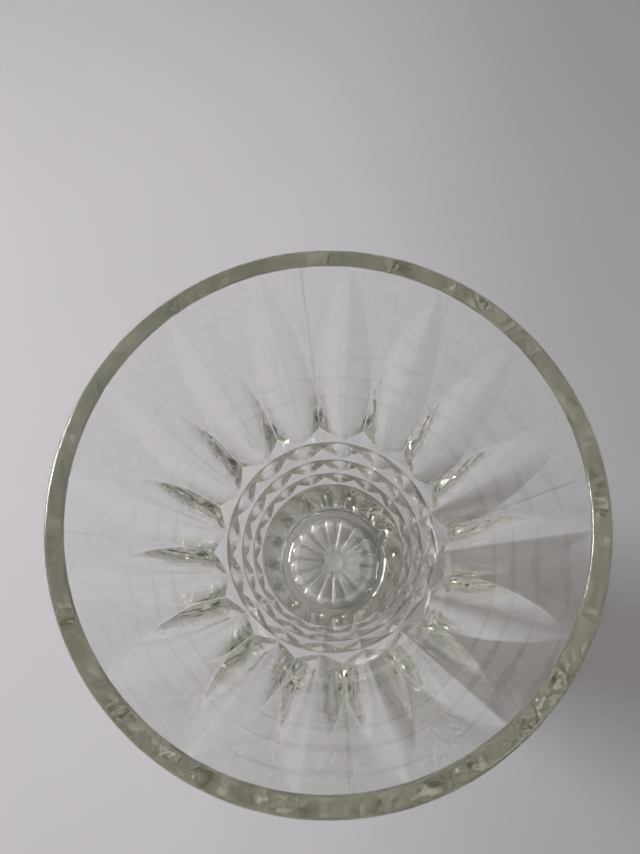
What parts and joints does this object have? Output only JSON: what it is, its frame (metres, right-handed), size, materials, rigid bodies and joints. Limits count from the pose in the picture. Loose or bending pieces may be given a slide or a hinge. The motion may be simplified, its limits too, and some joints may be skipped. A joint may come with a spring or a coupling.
{
  "type": "glass vase",
  "caption": "Pressed-glass flower vase: smooth flared hollow, leaf-shaped flutes outside, bands of small pyramids, plain round foot and a star pressed into the underside.",
  "frame": {"origin": "centre of the standing ring under the foot, in the plane that the vase stands on", "axes": "+Z along the vase's axis, up towards the mouth; the bottom of one flute lies over +X"},
  "size_m": [0.12, 0.12, 0.2],
  "materials": {
    "vase_glass": "fire-polished clear glass with a faint green tint, and a flat ground rim"
  },
  "bodies": {
    "root": {"vase": "vase_glass"}
  },
  "joints": []
}
